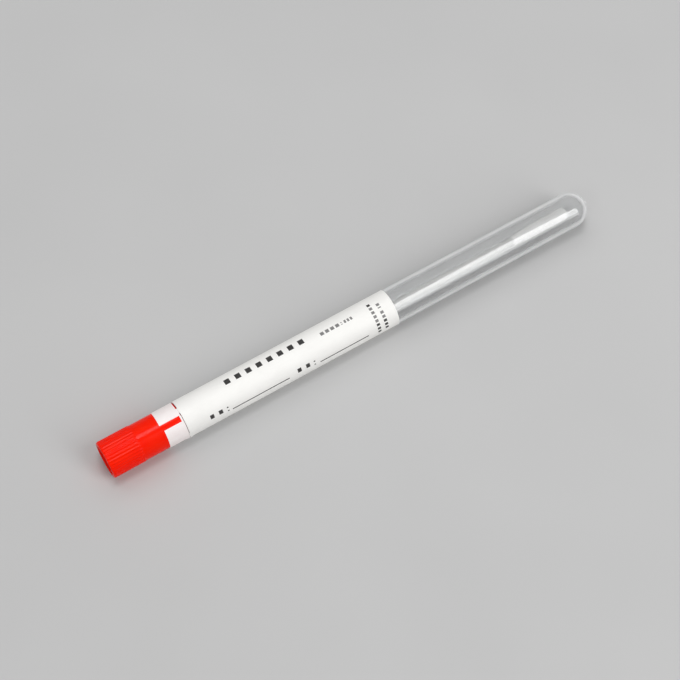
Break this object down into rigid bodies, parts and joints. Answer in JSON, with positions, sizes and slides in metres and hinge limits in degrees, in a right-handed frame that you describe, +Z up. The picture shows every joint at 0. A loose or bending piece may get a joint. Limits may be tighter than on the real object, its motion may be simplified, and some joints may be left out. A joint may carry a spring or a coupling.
{
  "type": "specimen swab tube",
  "caption": "Frosted round-bottomed transport tube on its side, with a ribbed push-in stopper that carries a fibre-tipped swab inside, and a paper label slit at the stopper.",
  "frame": {"origin": "centre of the bounding box's base: on the surface the tube lies on, below the middle of its length", "axes": "+X along the axis from the stopper to the round end, +Z up, +Y across"},
  "size_m": [0.1788, 0.0124, 0.0124],
  "materials": {
    "frosted_plastic": "frosted translucent polypropylene, satin outside",
    "red_plastic": "opaque red polyethylene, soft satin",
    "white_plastic": "opaque white plastic rod",
    "white_fibre": "wound white fibre",
    "label_paper": "white coated label paper with black print"
  },
  "bodies": {
    "tube_body": {"tube": "frosted_plastic", "tube_label": "label_paper"},
    "stopper_and_swab": {"stopper": "red_plastic", "stopper_band": "label_paper", "swab_shaft": "white_plastic", "swab_bud": "white_fibre"}
  },
  "joints": [
    {"name": "stopper_pull", "type": "slide", "parent": "tube_body", "child": "stopper_and_swab", "axis": [-1, 0, 0], "range_m": [0, 0.15]}
  ]
}
